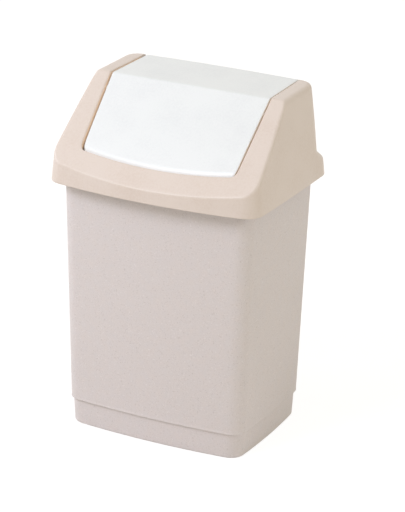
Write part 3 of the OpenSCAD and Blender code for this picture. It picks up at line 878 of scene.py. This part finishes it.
def flap_shell(d):
    """The flap as closed skins: its face, the rings round its rolled edge and
    its turned-down sides, and its underside."""
    corner, side, across = 9, 60, 16
    q = np.concatenate([
        np.linspace(0, 1, across + 1), np.linspace(1, 2, corner + 1)[1:],
        2 + np.arange(1, side + 1) / side, np.linspace(3, 4, across + 1)[1:],
    ])
    # 0 along the front and 1 along the sides, changing over the corner.
    at_side = np.clip((q - 0.97) / 1.05, 0, 1)
    s = d.slope + math.atan(2 * NOSE_DROP / NOSE_LENGTH)
    long, tall, deep, thick = d.front_roll, d.front_drop, d.flap_side_d, d.flap_t
    soft, bevel = 0.5, 0.15
    reach = math.hypot(long * math.cos(s), tall * math.sin(s))
    rings = []

    def level(y, depth):
        """Height of the flap's surface that lies depth below its face. The
        face curves down as a parabola, by NOSE_DROP over NOSE_LENGTH."""
        near = (d.mouth_front + d.front_gap + NOSE_LENGTH - y) / NOSE_LENGTH
        return roof(d, y, d.flap_recess + depth) - NOSE_DROP * np.clip(near, 0, 1.3) ** 2

    def ring(inset, back, depth, side_depth, lift=soft):
        """A ring whose sides are drawn in by inset. Its front lies back and
        depth from the corner where the flap's line and its front wall, at
        right angles to it, would meet, and the quarter ellipse that rounds
        this corner is foremost where the flap's outline is. Behind the split
        the ring stays lift or more above the height at which the flap rests."""
        front = (back - long) * math.cos(s) + (depth - tall) * math.sin(s) + reach
        x, y = flap_edge(d, q, inset, front, inset)
        fore = level(y, mix(depth, side_depth, at_side))
        rear = np.maximum(level(y, side_depth), d.shelf_z + REST_GAP + lift)
        rings.append(points(x, y, np.where(y < d.split, fore, rear)))

    for a in np.radians(np.linspace(0, 90, 10)):
        k, m = 1 - math.sin(a), 1 - math.cos(a)
        ring(d.side_roll * k, long * k, tall * m, d.side_roll * m)
    for t in (0.2, 0.45, 0.7, 1.0):
        ring(0, 0, mix(tall, deep - soft, t), mix(d.side_roll, deep - soft, t))
    for inset, lift in (
        (bevel, bevel), (soft, 0.0), (thick - soft, 0.0), (thick - bevel, bevel), (thick, soft),
    ):
        ring(inset, inset * NOSE_WALL, deep - lift, deep - lift, lift)
    for t in (0.33, 0.66, 1.0):
        depth = mix(deep - soft, thick, t)
        ring(thick, thick * NOSE_WALL, depth, depth)
    rings = np.array(rings)

    def face(depth, ring):
        """The flap's surface inside a ring: across the flap, x goes in step
        with the front and back edges, and y takes their bows, which fade out
        before the bend."""
        front = ring[: across + 1]
        edge = ring[across : across + corner + side + 1]
        back = ring[across + corner + side :][::-1]
        y = edge[:, 1][:, None]
        t = np.linspace(0, 1, len(edge))[:, None]
        before = d.bend_y - FLAP_FADE
        fade = np.clip((before - y) / (before - y[0]), 0, 1)
        grow = np.clip((y - d.bend_y - FACE_FADE) / (y[-1] - d.bend_y - FACE_FADE), 0, 1)
        share = mix(front[:, 0] / front[-1, 0], back[:, 0] / back[-1, 0], t)
        x = edge[:, :1] * share
        y = y + (front[:, 1] - front[-1, 1]) * fade + (back[:, 1] - back[-1, 1]) * grow
        right = points(x, y, level(y, depth))
        right[0, :, 2], right[-1, :, 2], right[:, -1] = front[:, 2], back[:, 2], edge
        return np.concatenate([right[:, :0:-1] * [-1, 1, 1], right], axis=1)

    return [
        (face(0.0, rings[0]), False, False),
        (both_sides(rings), False, True),
        (face(thick, rings[-1]), False, False),
    ]


def flap_pins(d):
    """The flap's bosses and pivot pins: a pin stands out of each boss and
    ends in a small chamfer."""
    grids = []
    side = d.pivot_half - d.side_gap
    x0, x1 = side - d.flap_boss_len, side - d.flap_t / 2
    end = d.pivot_half + d.curtain_t + d.boss_len - 1.0
    for s in (-1, 1):
        grids.append((rod_grid(
            [(x0, 0), (x0, d.boss_r - 0.5), (x0 + 0.15, d.boss_r - 0.15), (x0 + 0.5, d.boss_r),
             (x1, d.boss_r), (x1, 0)], d.pivot_y, d.pivot_z, s), False, True))
        grids.append((rod_grid(
            [(x1 - 0.5, 0), (x1 - 0.5, d.pin_r), (end - 0.6, d.pin_r),
             (end, d.pin_r - 0.6), (end, 0)], d.pivot_y, d.pivot_z, s), False, True))
    return grids


def add(tree, kind, inputs=None, links=None, **settings):
    """Adds a node, sets its properties and inputs, and links its inputs."""
    node = tree.nodes.new("ShaderNode" + kind)
    for key, value in settings.items():
        setattr(node, key, value)
    for key, value in (inputs or {}).items():
        node.inputs[key].default_value = value
    for key, socket in (links or {}).items():
        tree.links.new(socket, node.inputs[key])
    return node


def new_material(name):
    """A material and its node tree, which is still empty."""
    material = bpy.data.materials.new(name)
    material.use_nodes = True
    tree = material.node_tree
    tree.nodes.clear()
    return material, tree


def surface(tree, at, texture_mm, bump, roughness, inputs, links):
    """Adds the shader of polypropylene with the fine spark-eroded texture of
    its mould, as a bump and in the gloss, which changes between the lower and
    the upper roughness."""
    texture = add(tree, "TexNoise", {"Scale": 1000 / texture_mm, "Detail": 2.0}, {"Vector": at})
    fine = texture.outputs["Fac"]
    low, high = roughness
    gloss = add(tree, "MapRange", {"To Min": low, "To Max": high}, {"Value": fine})
    relief = add(tree, "Bump", {"Strength": bump, "Distance": TEXTURE_M}, {"Height": fine})
    shader = add(
        tree, "BsdfPrincipled", {"IOR": PLASTIC_IOR, "Metallic": 0.0, **inputs},
        {"Roughness": gloss.outputs["Result"], "Normal": relief.outputs["Normal"], **links},
    )
    add(tree, "OutputMaterial", None, {"Surface": shader.outputs["BSDF"]})


def moulded(name, base, other, roughness, bump):
    """Moulded polypropylene in one colour: a slow drift towards another
    colour, as the melt cools unevenly, with a finer grain. Where the piece's
    attribute inner says so, a painted warm shade and a painted glow are added,
    standing in for the light that comes through the thin plastic and bounces
    in its gaps."""
    material, tree = new_material(name)
    at = add(tree, "TexCoord").outputs["Object"]
    drift = add(tree, "TexNoise", {"Scale": 1000 / DRIFT_MM, "Detail": 3.0}, {"Vector": at})
    grain = add(tree, "TexNoise", {"Scale": 1000 / GRAIN_MM, "Detail": 2.0}, {"Vector": at})
    rest = add(
        tree, "Math", {1: 1 - DRIFT_SHARE}, {0: grain.outputs["Fac"]}, operation="MULTIPLY"
    )
    total = add(
        tree, "Math", {1: DRIFT_SHARE}, {0: drift.outputs["Fac"], 2: rest.outputs[0]},
        operation="MULTIPLY_ADD",
    )
    ramp = add(tree, "ValToRGB", None, {"Fac": total.outputs[0]})
    for end, place, tone in zip(ramp.color_ramp.elements, DRIFT_ENDS, (other, base)):
        end.position, end.color = place, tone
    # Painted warm shade and painted glow, as strong as the attribute inner.
    inner = add(tree, "Attribute", attribute_name="inner").outputs["Fac"]
    warm = add(
        tree, "Mix", {7: PAINTED_GAP_TINT}, {0: inner, 6: ramp.outputs["Color"]},
        data_type="RGBA", blend_type="MULTIPLY",
    )
    surface(
        tree, at, TEXTURE_MM, bump, roughness, {"Emission Color": PAINTED_GAP_GLOW},
        {"Base Color": warm.outputs[2], "Emission Strength": inner},
    )
    return material


def speckled(name, base, dark, light):
    """Polypropylene moulded with coloured flecks, as granite-look buckets are:
    dark and pale specks on a ground that is faintly warmer and cooler. The
    real ones are about 1 mm. They would be too fine to show, so they are
    drawn at 2 to 4 mm."""
    material, tree = new_material(name)
    at = add(tree, "TexCoord").outputs["Object"]
    melt = add(tree, "TexNoise", {"Scale": 1000 / MELT_MM, "Detail": 2.0}, {"Vector": at})
    tint = add(
        tree, "Mix", {6: MELT_WARM, 7: MELT_COOL}, {0: melt.outputs["Fac"]}, data_type="RGBA"
    )
    ground = add(
        tree, "Mix", {0: 1.0, 6: base}, {7: tint.outputs[2]},
        data_type="RGBA", blend_type="MULTIPLY",
    )
    so_far = ground.outputs[2]
    for tone, (size_mm, low, high) in zip((dark, light, dark), SPECKS):
        # W moves each kind to a part of the noise of its own.
        noise = add(
            tree, "TexNoise",
            {"W": size_mm * 3.1, "Scale": 1000 / size_mm, "Detail": 2.0, "Roughness": 0.6},
            {"Vector": at}, noise_dimensions="4D",
        )
        share = add(
            tree, "MapRange", {"From Min": low, "From Max": high, "To Max": SPECK_SHARE},
            {"Value": noise.outputs["Fac"]},
        )
        links = {0: share.outputs["Result"], 6: so_far}
        so_far = add(tree, "Mix", {7: tone}, links, data_type="RGBA").outputs[2]
    surface(tree, at, 1.5, 0.12, (0.42, 0.56), {}, {"Base Color": so_far})
    return material


def seen(tree):
    """1 for a ray from the camera, straight or by way of a mirror or glass,
    and 0 for a ray that only carries light."""
    ray = add(tree, "LightPath").outputs
    either = ray["Is Camera Ray"]
    for kind in ("Is Glossy Ray", "Is Transmission Ray"):
        links = {0: either, 1: ray[kind]}
        either = add(tree, "Math", None, links, operation="MAXIMUM").outputs[0]
    return either


class BIN_OT_bucket(bpy.types.Operator):
    """Makes the speckled bucket"""

    bl_idname = "object.bin_bucket"
    bl_label = "Bucket"

    def execute(self, context):
        d, finish = sizes(), context.scene.bin_finish
        plastic = speckled(
            "moulded polypropylene, speckled",
            finish.bucket, finish.dark_speck, finish.light_speck,
        )
        grids = [(bucket_grid(d), False, True)]
        piece = make_piece("bucket_shell", grids, d.shift, plastic, "bucket")
        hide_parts("bucket")
        return {"FINISHED"}


class BIN_OT_hood(bpy.types.Operator):
    """Makes the beige hood with its shelf, ribs, bosses and stops"""

    bl_idname = "object.bin_hood"
    bl_label = "Hood"

    def execute(self, context):
        d, finish = sizes(), context.scene.bin_finish
        plastic = moulded(
            "moulded polypropylene, beige", finish.hood, finish.hood_drift,
            roughness=(0.31, 0.41), bump=0.1,
        )
        grids = [(hood_shell(d), True, True), (shelf_grid(d), True, False)]
        grids += [(g, False, True) for g in seat_ribs(d)] + hinge_seats(d)
        # The walls round the opening get a painted glow and painted warm shade.
        piece = make_piece(
            "hood_shell", grids, d.shift, plastic, "hood",
            inner=lambda at: painted_gap_light(d, at),
        )
        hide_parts("hood")
        return {"FINISHED"}


class BIN_OT_flap(bpy.types.Operator):
    """Makes the white flap with its pivot pins"""

    bl_idname = "object.bin_flap"
    bl_label = "Flap"

    def execute(self, context):
        d, finish = sizes(), context.scene.bin_finish
        plastic = moulded(
            "moulded polypropylene, white", finish.flap, finish.flap_drift,
            roughness=(0.25, 0.35), bump=0.06,
        )
        parts = flap_shell(d) + flap_pins(d)
        grids = [(grid + [FLAP_PLAY, 0, 0], rows, cols) for grid, rows, cols in parts]
        piece = make_piece("flap_panel", grids, d.shift, plastic, "flap")
        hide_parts("flap")
        return {"FINISHED"}


def lamp(name, place, size, power, tint):
    """Adds a square area lamp that looks at LAMP_TARGET."""
    light = bpy.data.lights.new(name, "AREA")
    light.shape = "SQUARE"
    light.size, light.energy, light.color = size, power, tint
    obj = bpy.data.objects.new(name, light)
    bpy.context.scene.collection.objects.link(obj)
    turn = (Vector(LAMP_TARGET) - Vector(place)).to_track_quat("-Z", "Y")
    obj.matrix_world = Matrix.Translation(place) @ turn.to_matrix().to_4x4()


class BIN_OT_stage(bpy.types.Operator):
    """Makes the pale floor, the soft studio light and the camera"""

    bl_idname = "object.bin_stage"
    bl_label = "Stage"

    def execute(self, context):
        studio = context.scene.bin_studio
        self.floor(context, studio)
        self.world(context, studio)
        lamp("key", (-1.016, -2.179, 2.704), 1.2, studio.key, (0.925, 0.969, 1.116))
        lamp("side", (-2.896, -1.054, 1.737), 1.6, studio.side, (0.961, 0.981, 1.061))
        lamp("fill", (3.220, -0.568, 1.400), 1.6, studio.fill, (1.037, 1.026, 0.941))
        self.camera(context)
        context.scene.view_settings.view_transform = "Standard"
        return {"FINISHED"}

    def floor(self, context, studio):
        """A matt painted floor. To the camera, mirrored or not, it is lifted
        towards white, and keeps a faint shadow under the bin."""
        mesh = bpy.data.meshes.new("floor")
        corners = np.array([[-1, -1, 0], [1, -1, 0], [1, 1, 0], [-1, 1, 0]]) * FLOOR_HALF
        mesh.from_pydata(corners.tolist(), [], [[0, 1, 2, 3]])
        floor = bpy.data.objects.new("floor", mesh)
        context.scene.collection.objects.link(floor)
        material, tree = new_material("painted floor, matt white")
        white = add(tree, "Emission", {"Color": studio.floor, "Strength": FLOOR_WHITE})
        matt = add(tree, "BsdfDiffuse", {"Color": linear(FLOOR_PAINT), "Roughness": 1.0})
        lift = add(tree, "Math", {1: FLOOR_LIFT}, {0: seen(tree)}, operation="MULTIPLY")
        links = {0: lift.outputs[0], 1: matt.outputs[0], 2: white.outputs[0]}
        paint = add(tree, "MixShader", None, links)
        add(tree, "OutputMaterial", None, {"Surface": paint.outputs[0]})
        mesh.materials.append(material)

    def world(self, context, studio):
        """Even light from all round, and the backdrop that the camera sees."""
        world = bpy.data.worlds.new("studio")
        context.scene.world = world
        world.use_nodes = True
        tree = world.node_tree
        tree.nodes.clear()
        sky = add(tree, "Background", {"Color": SKY_TINT, "Strength": studio.sky})
        backdrop = add(tree, "Background", {"Color": studio.floor, "Strength": 1.0})
        links = {0: seen(tree), 1: sky.outputs[0], 2: backdrop.outputs[0]}
        view = add(tree, "MixShader", None, links)
        add(tree, "OutputWorld", None, {"Surface": view.outputs[0]})

    def camera(self, context):
        """The camera that was fitted to the photograph's edges: turned
        azimuth round the bin, raised by elevation, rolled about its axis and
        set back by CAMERA_DISTANCE from its target."""
        azimuth, elevation, roll = (math.radians(a) for a in CAMERA_TURN)
        back = Vector((
            math.sin(azimuth) * math.cos(elevation),
            -math.cos(azimuth) * math.cos(elevation),
            math.sin(elevation),
        ))
        level = Vector((math.cos(azimuth), math.sin(azimuth), 0))
        upright = back.cross(level)
        right = math.cos(roll) * level + math.sin(roll) * upright
        up = math.cos(roll) * upright - math.sin(roll) * level
        data = bpy.data.cameras.new("camera")
        data.sensor_width = SENSOR_MM
        data.lens = SENSOR_MM * FOCAL_PX / PHOTO_PX
        data.clip_end = 5 * FLOOR_HALF
        camera = bpy.data.objects.new("camera", data)
        context.scene.collection.objects.link(camera)
        turn = Matrix((right, up, back)).transposed().to_4x4()
        place = Vector(CAMERA_TARGET) + back * CAMERA_DISTANCE
        camera.matrix_world = Matrix.Translation(place) @ turn
        context.scene.camera = camera


class BIN_PT_build(bpy.types.Panel):
    """Lists the steps that build the bin"""

    bl_label = "Waste Bin"
    bl_idname = "BIN_PT_build"
    bl_space_type = "VIEW_3D"
    bl_region_type = "UI"
    bl_category = "Waste Bin"

    def draw(self, context):
        for step in STEPS:
            self.layout.operator(step.bl_idname)
        for key in (*GROUPS, *LOOKS):
            box = self.layout.box()
            group = getattr(context.scene, key)
            for name in group.__annotations__:
                box.prop(group, name)


STEPS = (BIN_OT_stage, BIN_OT_bucket, BIN_OT_hood, BIN_OT_flap)
CLASSES = (*GROUPS.values(), *LOOKS.values(), *STEPS, BIN_PT_build)


def register():
    for cls in CLASSES:
        bpy.utils.register_class(cls)
    for key, cls in {**GROUPS, **LOOKS}.items():
        setattr(bpy.types.Scene, key, PointerProperty(type=cls))


def unregister():
    for key in (*GROUPS, *LOOKS):
        delattr(bpy.types.Scene, key)
    for cls in reversed(CLASSES):
        bpy.utils.unregister_class(cls)


def main():
    register()
    bpy.ops.object.bin_stage()
    bpy.ops.object.bin_bucket()
    bpy.ops.object.bin_hood()
    bpy.ops.object.bin_flap()


if __name__ == "__main__":
    main()
